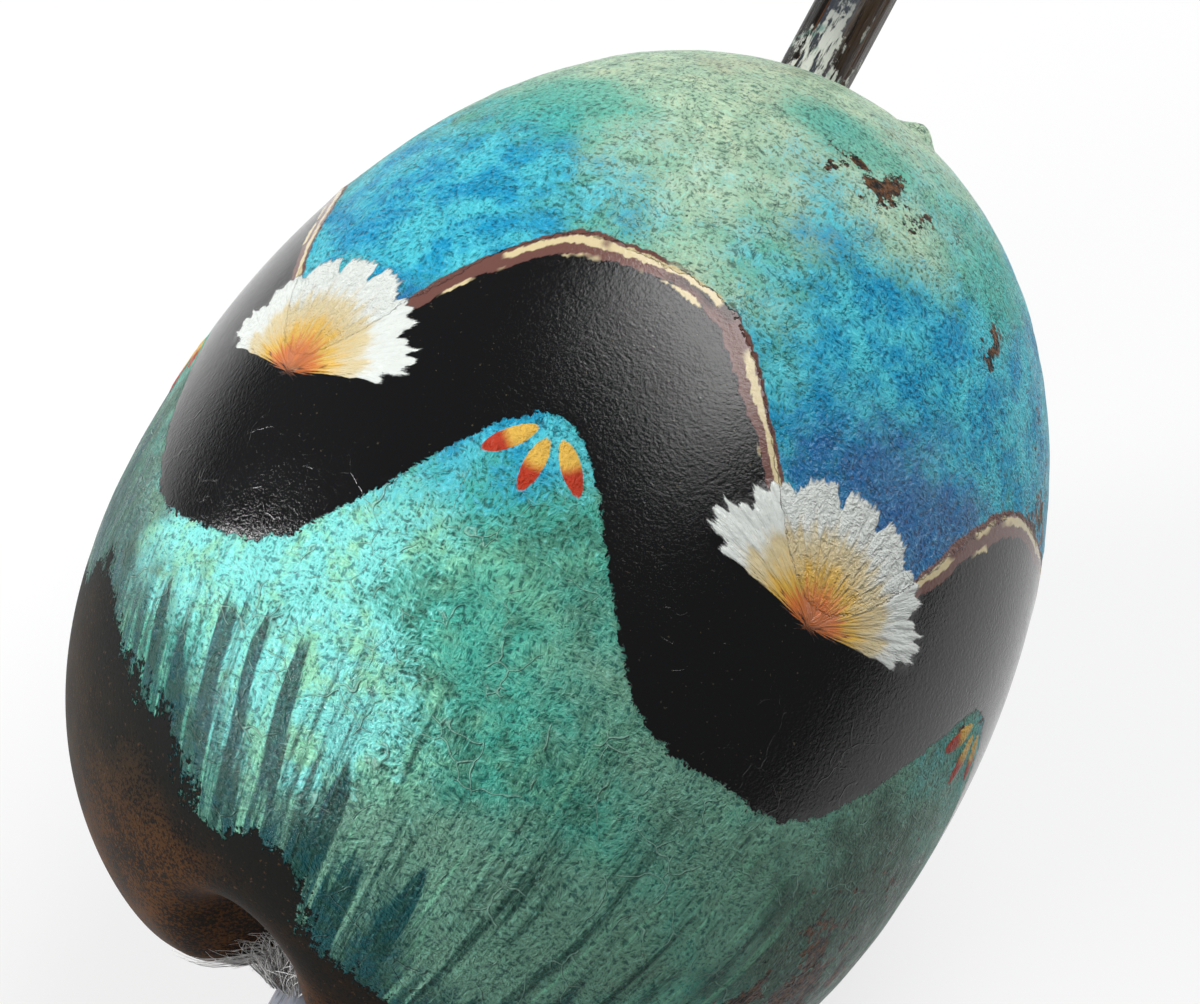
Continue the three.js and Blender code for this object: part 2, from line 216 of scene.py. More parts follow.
shell_side = from_nearest(turn - CREST_TURN - wave_step / 2, wave_step)
shell_up = height - (WAVE_MIDDLE - WAVE_RISE + WAVE_HALF_WIDTH + SHELL_GAP)
shell_reach = np.hypot(shell_side, shell_up)
shell_turn = np.arctan2(shell_side, shell_up)
lobes = np.abs(np.sin(SHELL_LOBES * np.pi * (shell_turn / SHELL_SPAN + 1) / 2))
shell_rim = SHELL_RADIUS - LOBE_DEPTH + LOBE_DEPTH * np.sqrt(lobes) - shell_reach
shell_edge = np.minimum(shell_rim, (SHELL_SPAN - np.abs(shell_turn)) * shell_reach)

drop_side = from_nearest(turn - CREST_TURN, wave_step)
drop_up = height - (WAVE_MIDDLE + WAVE_RISE - WAVE_HALF_WIDTH - DROP_GAP)
drop_reach = np.hypot(drop_side, drop_up)
drop_edge = np.full(height.shape, OUTSIDE)
for lean in DROP_LEANS:
    off_side = drop_side - DROP_OUT * np.sin(lean)
    off_up = drop_up - DROP_OUT * np.cos(lean)
    lengthwise = off_side * np.sin(lean) + off_up * np.cos(lean)
    sideways = off_side * np.cos(lean) - off_up * np.sin(lean)
    drop = DROP_HALF_WIDTH * (1 - np.hypot(lengthwise / DROP_LENGTH, sideways / DROP_HALF_WIDTH))
    drop_edge = np.maximum(drop_edge, drop)
print("share of the skin under the black wave:", round(float(np.mean(wave_edge > 0)), 3))

# %% [markdown]
# ## Where the colours of the ground lie
# The ground is washed on in big loose patches, and the base is left bare along a slanting line. Each patch is
# only a round blot here, given by a turn, a height and how far it reaches round and along the gourd. The
# finish later breaks its edge up into dabs. Above the bare base stand single upright strokes like reeds, dark
# and tapered. Each has its own place, length and lean, by chance.

# %% Blots and the bare base as numbers
FARTHEST = -3.0  # the number of a point that is far from every blot


def blots(*places):
    """How far each point lies inside the nearest of some blots, from 1 in the middle to 0 at the edge."""
    best = np.full(height.shape, FARTHEST)
    for at_turn, at_height, reach_round, reach_along in places:
        off_side = from_nearest(turn - np.radians(at_turn), FULL_TURN)
        far = np.hypot(off_side / reach_round, (height - at_height) / reach_along)
        best = np.maximum(best, 1 - far)
    return best


ground_blots = {
    "turquoise_blots": blots((110, -12, 28, 26), (94, -34, 18, 16), (-68, -6, 32, 24), (196, -2, 34, 24)),
    "sage_blots": blots((76, 62, 28, 36), (80, 94, 90, 28), (180, 90, 90, 28), (290, 90, 90, 28)),
    "teal_blots": blots((62, 70, 11, 5), (112, 56, 14, 8), (26, 64, 12, 8), (240, 60, 20, 9),
                        (-40, 60, 20, 9)),
    "dull_blots": blots((26, -16, 44, 26), (58, -50, 44, 18), (-110, -34, 40, 20), (250, -30, 40, 20)),
    "blue_blots": blots((116, 30, 34, 24), (93, 12, 22, 18), (38, 30, 34, 34), (4, 44, 30, 34),
                        (-62, 40, 36, 22), (212, 36, 36, 22)),
    "deep_blots": blots((36, 18, 24, 18), (108, 10, 16, 10), (-70, 30, 22, 14), (220, 24, 22, 14)),
    "dark_blots": blots((8, -26, 26, 22), (148, -24, 26, 34), (-110, -34, 40, 20), (250, -30, 40, 20)),
    "worn_blots": blots((8, -34, 20, 26), (29, 53, 5, 5), (9, 30, 9, 30), (55, 64, 11, 6),
                        (-120, 30, 20, 20), (-170, -20, 20, 20)),
}

BARE_TURN, BARE_LEVEL, BARE_TILT, BARE_HIGHEST = np.radians(40), -33.0, 0.70, -26.0
toward_paint = skin[..., 0] * np.cos(BARE_TURN) + skin[..., 2] * np.sin(BARE_TURN)
bare_line = height - np.minimum(BARE_LEVEL - BARE_TILT * toward_paint, BARE_HIGHEST)
print("share of the skin left bare:", round(float(np.mean(bare_line < 0)), 3))

# %% Reed strokes as numbers
REEDS, REED_LENGTH, REED_WIDTH = 90, (7.0, 13.0), (0.9, 1.9)  # half lengths and half widths
REED_LEAN, REED_RISE = (0.06, 0.09), (2, 22)  # a mean lean and its spread, and heights over the bare line
chance = np.random.default_rng(12)
reed_edge = np.full(height.shape, OUTSIDE)
for number in range(REEDS):
    reed_turn, reed_lean = chance.uniform(0, FULL_TURN), chance.normal(*REED_LEAN)
    reed_length, reed_width = chance.uniform(*REED_LENGTH), chance.uniform(*REED_WIDTH)
    low = BARE_LEVEL - BARE_TILT * BELLY_RADIUS * np.cos(reed_turn - BARE_TURN)
    off_up = height - np.minimum(low, BARE_HIGHEST) - chance.uniform(*REED_RISE)
    off_side = from_nearest(turn - reed_turn, FULL_TURN) - reed_lean * off_up
    reed = reed_width * (1 - np.hypot(off_up / reed_length, off_side / reed_width))
    reed_edge = np.maximum(reed_edge, reed)
print("share of the skin under reed strokes:", round(float(np.mean(reed_edge > 0)), 3))

# %% [markdown]
# ## Relief of the paint
# Brushed paint is not flat: it wrinkles, lies in ridges and builds up where strokes cross. What is thicker
# than a hair is made as real relief, so it shows on the outline and in the light. Noise gives the wrinkles,
# and the wave and the shells stand a little proud, as further coats do.


# %% Real relief on the skin
def lumps(points, size, shift):
    """Smooth noise from -1 to 1, with bumps of about a size in millimetres."""
    spots = (points.reshape(-1, 3) / size + shift).tolist()
    return np.array([noise.noise(spot) for spot in spots]).reshape(points.shape[:-1])


def between(values, low, high):
    """0 below low, 1 above high and smooth between them."""
    share = np.clip((values - low) / (high - low), 0, 1)
    return share * share * (3 - 2 * share)


painted = between(bare_line + 3 * lumps(skin, 6.0, 3.1), -2, 3)
on_wave = between(wave_edge, -0.5, 0.7)
on_shell = between(shell_edge, -0.6, 0.8)
wrinkle = np.exp(-(lumps(skin, 7.0, 12.9) / 0.10) ** 2) * between(lumps(skin, 9.0, 41.3), 0.0, 0.35)
dabs = lumps(skin * (1.0, 0.55, 1.0), 3.4, 7.7)
petals = np.cos(2 * SHELL_LOBES * shell_turn) * np.clip(shell_reach / SHELL_RADIUS, 0, 1)
border = np.exp(-((wave_side - WAVE_HALF_WIDTH) / 1.3) ** 2)

relief = 0.12 * lumps(skin, 38.0, 2.2)
relief += painted * (1 - 0.95 * on_wave) * (0.09 * wrinkle + 0.10 * dabs)
relief += painted * (0.05 * on_wave + 0.14 * border + on_shell * (0.16 + 0.07 * petals))
relief += painted * 0.2 * between(drop_edge, -0.2, 0.5)
skin = skin + normal * relief[..., None]
print("relief from", round(relief.min(), 2), "to", round(relief.max(), 2), "mm")

# %% [markdown]
# ## Closing the shell
# The gourd is hollow, with a wall of about 4 mm, and its two holes show that wall. The rings run down the
# outside, turn in through the base hole, come back up the inside and close again at the crown hole, so the
# mesh is one closed skin like a thick ring. Where the gourd lies on the table it is flat, as a gourd grows.


# %% Mesh helpers
def ring_object(name, rings, joined=False):
    """A closed mesh from rings of points. The last ring is joined to the first, or both ends get caps."""
    count, columns = rings.shape[:2]
    index = np.arange(count * columns).reshape(count, columns)
    beside = np.roll(index, -1, axis=1)
    quads = np.stack([index, np.roll(index, -1, axis=0), np.roll(beside, -1, axis=0), beside], -1)
    quads = quads if joined else quads[:-1]
    faces = quads.reshape(-1, 4).tolist()
    if not joined:
        faces += [index[0].tolist(), index[-1][::-1].tolist()]
    points = rings.reshape(-1, 3)
    corners = points[quads.reshape(-1, 4)]
    middle = points.mean(axis=0)
    square = np.cross(corners[:, 2] - corners[:, 0], corners[:, 3] - corners[:, 1])
    inside_out = np.sum((corners.mean(axis=1) - middle) * square) < 0
    mesh = bpy.data.meshes.new(name)
    mesh.from_pydata(points.tolist(), [], faces)
    if inside_out:
        mesh.flip_normals()
    mesh.shade_smooth()
    made = bpy.data.objects.new(name, mesh)
    bpy.context.scene.collection.objects.link(made)
    return made


def note(made, name, values):
    """Stores one number, or one vector, at each point of a mesh, for its finish to read."""
    is_vector = values.ndim == 3 and values.shape[-1] == 3
    layer = made.data.attributes.new(name, "FLOAT_VECTOR" if is_vector else "FLOAT", "POINT")
    flat = np.ascontiguousarray(values, dtype=np.float32).ravel()
    layer.data.foreach_set("vector" if is_vector else "value", flat)


def settle(made, body, node):
    """Lets a piece stand for a solid: it rides on a body, and the solid is hidden."""
    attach(made, body)
    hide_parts(node)


# %% Gourd shell
INNER_RINGS = 26

inner_rows = np.linspace(RINGS - 1, 0, INNER_RINGS).round().astype(int)
inner = skin[inner_rows] - WALL * normal[inner_rows]
inner_radius = np.hypot(inner[..., 0], inner[..., 2])
spread_out = np.maximum(CROWN_HOLE / inner_radius, 1)
inner[..., 0] *= spread_out
inner[..., 2] *= spread_out
shell_rings = lay_down(np.concatenate([skin, inner]))
shell_rings[..., 2] = np.maximum(shell_rings[..., 2], 0)
gourd = ring_object("painted_gourd", shell_rings, joined=True)


def both_sides(values):
    return np.concatenate([values, values[inner_rows]])


round_belly = BELLY_RADIUS * np.cos(turn), height, BELLY_RADIUS * np.sin(turn)
unrolled = np.stack(np.broadcast_arrays(*round_belly), -1)
note(gourd, "own", both_sides(skin))
note(gourd, "unrolled", both_sides(unrolled))
for name, values in {
    "height": height, "wave_edge": wave_edge, "wave_side": wave_side, "shell_edge": shell_edge,
    "shell_reach": shell_reach, "shell_turn": np.abs(shell_turn), "drop_edge": drop_edge,
    "drop_reach": drop_reach, "bare_line": bare_line, "reed_edge": reed_edge, **ground_blots,
}.items():
    note(gourd, name, both_sides(values))
face_ring = np.repeat(np.arange(RINGS + INNER_RINGS), COLUMNS)
gourd.data.polygons.foreach_set("material_index", (face_ring >= RINGS - 1).astype(np.int32))
settle(gourd, "rattle", "gourd_shell")
print("gourd faces:", len(gourd.data.polygons))

# %% [markdown]
# ## A bench for finishes
# Every finish here is a tree of shader nodes. To keep the trees readable, a small class adds a node in one
# call: noise of a size in millimetres, a value read from the mesh, a smooth step, a mix of two colours. What
# is the same all over a surface, such as its coat, is written on the shader itself.


# %% Node bench
class Finish:
    """A material whose nodes are added one call at a time."""

    def __init__(self, name, **surface):
        self.material = bpy.data.materials.new(name)
        self.material.use_nodes = True
        self.tree = self.material.node_tree
        self.shader = self.tree.nodes["Principled BSDF"]
        self.place = None
        for socket, value in surface.items():
            self.wire(self.shader.inputs[socket.replace("_", " ")], value)

    def wire(self, socket, value):
        if isinstance(value, bpy.types.NodeSocket):
            self.tree.links.new(value, socket)
        elif isinstance(value, tuple) and socket.type == "RGBA":
            socket.default_value = (*value, 1)
        else:
            socket.default_value = value

    def node(self, kind, **settings):
        made = self.tree.nodes.new("ShaderNode" + kind)
        for name, value in settings.items():
            setattr(made, name, value)
        return made

    def read(self, name, output="Fac"):
        """A value that the mesh holds at its points."""
        return self.node("Attribute", attribute_name=name).outputs[output]

    def from_origin(self):
        """Places on a piece that came from CAD, in millimetres."""
        made = self.node("VectorMath", operation="SCALE")
        self.wire(made.inputs[0], self.node("TexCoord").outputs["Object"])
        made.inputs["Scale"].default_value = 1 / MM
        return made.outputs[0]

    def sum(self, a, b, how="ADD"):
        made = self.node("Math", operation=how)
        self.wire(made.inputs[0], a)
        self.wire(made.inputs[1], b)
        return made.outputs[0]

    def times(self, a, b):
        return self.sum(a, b, "MULTIPLY")

    def weigh(self, *parts):
        """The sum of some values, each of them times its weight."""
        total = None
        for value, weight in parts:
            part = value if weight == 1 else self.times(value, weight)
            total = part if total is None else self.sum(total, part)
        return total

    def away(self, value, middle):
        """How far a value is from a middle, to either side."""
        return self.sum(self.sum(value, middle, "SUBTRACT"), 0.0, "ABSOLUTE")

    def step(self, value, low, high, start=0.0, end=1.0):
        """A smooth step of a value, from start at low to end at high."""
        made = self.node("MapRange", interpolation_type="SMOOTHSTEP")
        for socket, number in zip(made.inputs, (value, low, high, start, end)):
            self.wire(socket, number)
        return made.outputs[0]

    def mix(self, amount, under, over, how="MIX"):
        made = self.node("Mix", data_type="RGBA", blend_type=how)
        self.wire(made.inputs[0], amount)
        self.wire(made.inputs[6], under)
        self.wire(made.inputs[7], over)
        return made.outputs[2]

    def at(self, size, stretch=(1, 1, 1), shift=0.0, place=None):
        """Places on the piece, measured in lengths of a size in millimetres."""
        made = self.node("VectorMath", operation="MULTIPLY_ADD")
        self.wire(made.inputs[0], place or self.place)
        made.inputs[1].default_value = [s / size for s in stretch]
        made.inputs[2].default_value = [shift] * 3
        return made.outputs[0]

    def cloud(self, size, shift=0.0, detail=3.0, rough=0.55, stretch=(1, 1, 1), place=None):
        """Noise with clouds of a size in millimetres."""
        made = self.node("TexNoise")
        self.wire(made.inputs["Vector"], self.at(size, stretch, shift, place))
        made.inputs["Scale"].default_value = 1.0
        made.inputs["Detail"].default_value = detail
        made.inputs["Roughness"].default_value = rough
        return made.outputs["Fac"]

    def bent(self, place, size, reach, shift=0.0):
        """Places that are moved by noise, so that what is drawn there curls."""
        push = self.node("TexNoise")
        self.wire(push.inputs["Vector"], self.at(size, shift=shift, place=place))
        push.inputs["Scale"].default_value = 1.0
        push.inputs["Detail"].default_value = 1.0
        made = self.node("VectorMath", operation="MULTIPLY_ADD")
        self.wire(made.inputs[0], push.outputs["Color"])
        made.inputs[1].default_value = [reach] * 3
        self.wire(made.inputs[2], place)
        return made.outputs[0]

    def cracks(self, size, shift=0.0, place=None):
        """The distance to the edges of cells of a size in millimetres, as in dried mud."""
        made = self.node("TexVoronoi", feature="DISTANCE_TO_EDGE")
        self.wire(made.inputs["Vector"], self.at(size, shift=shift, place=place))
        made.inputs["Scale"].default_value = 1.0
        return made.outputs["Distance"]

    def relief(self, height, depth):
        """A normal that shows a height as fine relief, of a depth in millimetres."""
        made = self.node("Bump")
        made.inputs["Strength"].default_value = 1.0
        made.inputs["Distance"].default_value = depth * MM
        self.wire(made.inputs["Height"], height)
        return made.outputs[0]

    def show(self, colour, roughness, normal):
        self.wire(self.shader.inputs["Base Color"], colour)
        self.wire(self.shader.inputs["Roughness"], roughness)
        self.wire(self.shader.inputs["Normal"], normal)
        return self.material


print("node bench ready")

# %% [markdown]
# ## The painted ground
# Under the pattern the gourd is washed in sea greens and blues, paler where the brush was full, and sage near
# the crown. Each colour is laid over the one before, as a painter would lay it: the blots from the mesh say
# where, and noise in three sizes breaks their edges into dabs and bristle marks.

# %% Painted ground
SEA_GREEN, DEEP_GREEN, TEAL = (0.070, 0.270, 0.190), (0.008, 0.062, 0.048), (0.085, 0.53, 0.41)
TURQUOISE, CERULEAN, ULTRAMARINE = (0.24, 0.88, 0.82), (0.006, 0.34, 0.62), (0.003, 0.105, 0.36)
MINT, LIGHT_BLUE, DARK_OLIVE = (0.30, 0.78, 0.50), (0.085, 0.62, 0.74), (0.045, 0.090, 0.062)
DULL_GREEN = (0.200, 0.390, 0.285)
SAGE, CREAM_GREEN, SAND = (0.48, 0.70, 0.49), (0.66, 0.81, 0.56), (0.62, 0.52, 0.32)
BLOT_EDGE = 1.75  # where a blot ends, once its noise is added

paint = Finish("varnished_paint")
paint.place = paint.read("own", "Vector")
unrolled_place = paint.read("unrolled", "Vector")
level = paint.read("height")
middling = paint.cloud(15, 11.0, detail=4, rough=0.62)
fine = paint.cloud(3.0, 5.0, detail=4, rough=0.65)
stroke = paint.cloud(1.6, 21.0, detail=3, rough=0.6, stretch=(1, 0.12, 1), place=unrolled_place)
dab = paint.cloud(6.5, 47.0, detail=5, rough=0.68)
swept = paint.bent(paint.place, 8, 4, 3.0)
brushed_up = paint.cloud(0.50, 121.0, detail=2, stretch=(1, 0.5, 1), place=swept)
brushed_round = paint.cloud(0.50, 141.0, detail=2, stretch=(0.5, 1, 0.8), place=swept)
impasto = paint.sum(brushed_up, brushed_round, "MAXIMUM")


def wash(ground, colour, blot_name, size, shift, amount=1.0, spread=0.0, soft=0.2):
    """Lays a colour over the ground in the blots of a name, with brushed edges."""
    loose = paint.cloud(size, shift, detail=4, rough=0.6)
    field = paint.weigh((paint.read(blot_name), 1), (loose, 1.6), (impasto, 1), (fine, 0.5))
    edge = BLOT_EDGE - spread
    return paint.mix(paint.step(field, edge - soft, edge + soft, 0.0, amount), ground, colour)


ground = paint.mix(paint.step(paint.sum(middling, fine), 0.8, 1.2), SEA_GREEN, TEAL)
ground = paint.mix(paint.step(dab, 0.46, 0.70, 0.0, 0.4), ground, MINT)
turquoise = paint.mix(paint.step(dab, 0.44, 0.62), TURQUOISE, MINT)
crown_sage = paint.mix(paint.step(fine, 0.40, 0.62), SAGE, CREAM_GREEN)
crown_sage = paint.mix(paint.step(paint.cloud(14, 71.0), 0.56, 0.76, 0.0, 0.4), crown_sage, SAND)
thin_blue = paint.mix(paint.step(dab, 0.40, 0.62), TEAL, LIGHT_BLUE)
full_blue = paint.mix(paint.step(dab, 0.38, 0.62), CERULEAN, LIGHT_BLUE)
for over, *how in (
    (DULL_GREEN, "dull_blots", 13, 19.0, 0.85, 0.0, 0.45),
    (turquoise, "turquoise_blots", 14, 17.0),
    (crown_sage, "sage_blots", 15, 11.0, 0.95, 0.35, 0.45),
    (thin_blue, "blue_blots", 16, 27.0, 0.85, 0.15, 0.4),
    (full_blue, "blue_blots", 14, 25.0, 0.95, 0.0, 0.3),
    (ULTRAMARINE, "deep_blots", 9, 37.0, 0.85, 0.0, 0.3),
    (TEAL, "teal_blots", 8, 39.0, 0.7, 0.0, 0.4),
    (DARK_OLIVE, "dark_blots", 7, 13.0, 0.75, 0.0, 0.22),
):
    ground = wash(ground, over, *how)
print("ground nodes:", len(paint.tree.nodes))

# %% [markdown]
# ## Brush marks, wear and cracks
# Low on the gourd the brush was pulled along it and left long streaks and the reeds. Elsewhere short strokes
# cross each other; their valleys are darkened as painted shade and their ridges lightened as painted
# highlights. The low spots of a fine mottle are darkened as painted shade too. The upper half has fine cracks
# and the lower one a few raised wrinkles: both run along the edges of cells, on places bent by noise so that
# they curl. The cracks are darkened as painted shade, and the wrinkles are painted pale, as a painted
# highlight. Small rusty spots are rubbed through to the rind.

# %% Streaks, cracks and rubbed spots
RUST, SOOT, REED_BLUE = (0.17, 0.072, 0.026), (0.010, 0.011, 0.010), (0.003, 0.080, 0.092)
# The next three colours are painted light: shade in valleys and cracks, highlights on ridges and wrinkles.
PAINTED_SHADE, PAINTED_HIGHLIGHT, PAINTED_WRINKLE_HIGHLIGHT = (0.16, 0.27, 0.31), (0.08, 0.19, 0.17), (0.45, 0.80, 0.66)

streak = paint.cloud(2.6, 53.0, detail=4, rough=0.6, stretch=(1, 0.07, 1), place=unrolled_place)
low_down = paint.step(paint.sum(level, paint.times(middling, 40.0)), 6.0, -18.0)
ground = paint.mix(paint.times(paint.step(streak, 0.52, 0.66, 0.0, 0.85), low_down), ground, DEEP_GREEN)
ground = paint.mix(paint.times(paint.step(streak, 0.44, 0.34, 0.0, 0.5), low_down), ground, MINT)
reed = paint.weigh((paint.read("reed_edge"), 1), (stroke, 1.6), (streak, 1.2))
reed_colour = paint.mix(paint.step(stroke, 0.42, 0.60), REED_BLUE, DEEP_GREEN)
ground = paint.mix(paint.step(reed, 1.42, 1.80, 0.0, 0.92), ground, reed_colour)
mottle = paint.cloud(1.4, 57.0, detail=4, rough=0.72)
# Painted shade in the low spots of the mottle and in the valleys between strokes.
ground = paint.mix(paint.step(mottle, 0.46, 0.32, 0.0, 0.35), ground, PAINTED_SHADE, "MULTIPLY")
ground = paint.mix(paint.step(impasto, 0.54, 0.42, 0.0, 0.80), ground, PAINTED_SHADE, "MULTIPLY")
# Painted highlight on the ridges of the strokes.
ground = paint.mix(paint.step(impasto, 0.59, 0.72, 0.0, 0.85), ground, PAINTED_HIGHLIGHT, "ADD")
patchy = paint.times(paint.step(paint.cloud(6.0, 33.0), 0.44, 0.60), paint.step(level, -14.0, 8.0))
craze = paint.cracks(1.7, 43.0, paint.bent(paint.place, 1.2, 1.7, 6.0))
patchy = paint.times(patchy, paint.step(paint.cloud(1.5, 35.0), 0.46, 0.56))
# Painted shade in the cracks.
ground = paint.mix(paint.times(paint.step(craze, 0.06, 0.015, 0.0, 0.55), patchy), ground, PAINTED_SHADE, "MULTIPLY")
speck = paint.cloud(0.6, 44.0, detail=2)
ground = paint.mix(paint.step(speck, 0.69, 0.75, 0.0, 0.7), ground, SOOT)
crease = paint.cracks(6.0, 29.0, paint.bent(paint.place, 4.0, 3.5, 16.0))
crease = paint.times(paint.step(crease, 0.024, 0.006), paint.step(paint.cloud(6.0, 63.0), 0.50, 0.58))
crease = paint.times(crease, paint.step(level, 6.0, -10.0))
# Painted highlight: the raised wrinkles are painted pale.
ground = paint.mix(paint.times(crease, 0.45), ground, PAINTED_WRINKLE_HIGHLIGHT)
rubbed = paint.weigh((paint.cloud(4.5, 61.0, detail=5, rough=0.72), 1), (paint.read("worn_blots"), 0.20))
rubbed = paint.step(rubbed, 0.635, 0.665)
ground = paint.mix(rubbed, ground, paint.mix(paint.step(mottle, 0.40, 0.56), RUST, SOOT))
print("worn ground nodes:", len(paint.tree.nodes))

# %% [markdown]
# ## Wave, shells and drops
# The wave is one full coat of black. A mauve stroke runs along its upper edge with a cream one over it, both
# dragged almost dry. The shells go from orange at the root through yellow and cream to white at the rim, in
# radial strokes. Every edge is the mesh's own number plus some brushy noise, cut off sharply.

# %% Wave
BLACK, MAUVE, CREAM = (0.0045, 0.0045, 0.005), (0.17, 0.075, 0.062), (0.74, 0.62, 0.36)

wave = paint.read("wave_edge")
side = paint.read("wave_side")
under_side = paint.step(side, 4.0, -4.0)
ragged = paint.times(impasto, paint.sum(1.2, paint.times(under_side, 1.4)))
wave_cover = paint.weigh((wave, 1), (ragged, 1), (under_side, -0.7), (fine, 2.6))
wave_cover = paint.step(wave_cover, 1.8, 2.0)
dust = paint.step(paint.cloud(0.55, 77.0, detail=1), 0.72, 0.80, 0.0, 0.07)
pattern = paint.mix(wave_cover, ground, paint.mix(dust, BLACK, CREAM))

wander = paint.times(paint.cloud(18, 83.0, detail=1), 3.0)
off_edge = paint.sum(paint.sum(side, wander), WAVE_HALF_WIDTH + 0.9, "SUBTRACT")
dry = paint.weigh((stroke, 1.5), (fine, 0.9))


def line(pattern, colour, middle, half_width, size, shift, broken):
    """A half dry stroke along the upper edge of the wave, broken off here and there."""
    cover = paint.step(paint.sum(paint.away(off_edge, middle), dry), half_width + 1.25, half_width + 1.0)
    kept = paint.step(paint.cloud(size, shift), broken, broken + 0.05)
    return paint.mix(paint.times(cover, kept), pattern, colour)


pattern = line(pattern, MAUVE, 0.0, 1.5, 26, 85.0, 0.36)
pattern = line(pattern, CREAM, 0.3, 0.55, 14, 87.0, 0.46)
pattern = line(pattern, CREAM, -1.5, 0.35, 11, 89.0, 0.54)
print("wave nodes:", len(paint.tree.nodes))

# %% Shells and drops
ORANGE, YELLOW, WHITE, RED = (0.78, 0.21, 0.045), (0.82, 0.50, 0.09), (0.80, 0.84, 0.80), (0.50, 0.045, 0.018)

shell = paint.read("shell_edge")
reach = paint.read("shell_reach")
spoke = paint.node("CombineXYZ")
paint.wire(spoke.inputs[0], paint.times(paint.read("shell_turn"), 9.0))
paint.wire(spoke.inputs[1], paint.times(reach, 0.16))
spokes = paint.node("TexNoise")
paint.wire(spokes.inputs["Vector"], spoke.outputs[0])
spokes.inputs["Scale"].default_value = 1.4
spokes.inputs["Detail"].default_value = 4.0
drag = spokes.outputs["Fac"]
dragged = paint.weigh((reach, 1), (drag, 8.0))
petal = paint.mix(paint.step(dragged, 7.5, 10.5), ORANGE, YELLOW)
petal = paint.mix(paint.step(dragged, 10.5, 14.0), petal, CREAM)
petal = paint.mix(paint.step(dragged, 14.5, 18.0), petal, WHITE)
shell_cover = paint.step(paint.weigh((shell, 1), (drag, 6.0)), 2.7, 3.2)
pattern = paint.mix(shell_cover, pattern, petal)

drops = paint.weigh((paint.read("drop_edge"), 1), (fine, 0.5))
drop_colour = paint.mix(paint.step(paint.sum(paint.read("drop_reach"), fine), 6.4, 8.2), YELLOW, RED)
pattern = paint.mix(paint.step(drops, 0.3, 0.42), pattern, drop_colour)
print("pattern nodes:", len(paint.tree.nodes))

# %% [markdown]
# ## The bare base
# Round the stick the rind is left bare: burnished brown, speckled, and scorched black where it meets the
# paint. The paint stops there in dry brush strokes along the gourd, so the edge is the mesh's own line moved
# by noise that is drawn out lengthwise.

# %% Bare rind
UMBER, TAN, AMBER = (0.005, 0.004, 0.003), (0.040, 0.027, 0.015), (0.105, 0.040, 0.010)
FRECKLE = (0.13, 0.072, 0.036)

bare = paint.read("bare_line")
grain = paint.cloud(0.50, 91.0, detail=3, rough=0.7)
flecks = paint.weigh((grain, 1), (paint.cloud(7, 95.0, detail=4), 0.35))
orange_end = paint.step(paint.weigh((level, 1), (grain, 20.0)), -36.0, -52.0, 0.0, 0.85)
rind = paint.mix(paint.step(flecks, 0.60, 0.78), UMBER, paint.mix(orange_end, TAN, AMBER))
scorch = paint.weigh((bare, 1), (paint.cloud(13, 99.0, detail=4), 32.0), (grain, 24.0))
rind = paint.mix(paint.step(scorch, 11.0, 26.0, 0.0, 0.96), rind, SOOT)
freckle = paint.cloud(0.8, 97.0, detail=2, rough=0.6)
rind = paint.mix(paint.step(freckle, 0.64, 0.72, 0.0, 0.45), rind, FRECKLE)
long_stroke = paint.cloud(1.3, 103.0, detail=4, rough=0.65, stretch=(1, 0.06, 1), place=unrolled_place)
frayed = paint.weigh((bare, 1), (long_stroke, 9.0), (impasto, 8.0), (paint.cloud(15, 107.0), 26.0),
                     (fine, 6.0))
coat = paint.step(frayed, 23.5, 24.5)
thin_coat = paint.times(paint.step(frayed, 44.0, 26.0), paint.step(long_stroke, 0.36, 0.54, 0.0, 0.92))
pattern = paint.mix(thin_coat, pattern, paint.mix(paint.step(fine, 0.42, 0.58), REED_BLUE, DEEP_GREEN))
colour = paint.mix(coat, rind, pattern)
print("rind nodes:", len(paint.tree.nodes))

# %% [markdown]
# ## Varnish and fine relief
# The varnish is thick and smooth on the black, broken into many small glints on the turquoise, and thin and
# worn elsewhere, down to the rind, which is only burnished. So the roughness and the strength of the gloss
# both follow the same masks as the colours. Cracks and bristle marks are finer than the mesh, so they are
# added to the light only.

# %% Varnish
full_coat = paint.sum(paint.read("turquoise_blots"), paint.read("deep_blots"), "MAXIMUM")
full_coat = paint.step(full_coat, -0.3, 0.5)
shine = paint.sum(paint.step(fine, 0.3, 0.7, 0.26, 0.40), paint.times(full_coat, -0.13))
shine = paint.mix(wave_cover, shine, paint.step(fine, 0.3, 0.7, 0.09, 0.14))
shine = paint.mix(coat, paint.step(grain, 0.3, 0.7, 0.48, 0.62), shine)
gloss = paint.sum(paint.sum(0.12, paint.times(full_coat, 0.42)), paint.times(wave_cover, 0.5), "MAXIMUM")
paint.wire(paint.shader.inputs["Specular IOR Level"], paint.sum(paint.times(gloss, coat), 0.06, "MAXIMUM"))

between_cracks = paint.times(paint.step(craze, 0.0, 0.08), patchy)
ridges = paint.weigh((impasto, 0.70), (stroke, 0.22), (fine, 0.35), (mottle, 0.30), (between_cracks, 0.16),
                     (paint.times(streak, low_down), 0.6), (crease, 0.50))
calm = paint.sum(1.0, paint.times(wave_cover, -0.95))
ridges = paint.times(ridges, paint.times(calm, coat))
film = paint.weigh((ridges, 1), (coat, 0.3), (grain, 0.08), (paint.times(shell_cover, drag), 1))
gourd.data.materials.append(paint.show(colour, shine, paint.relief(film, 0.90)))

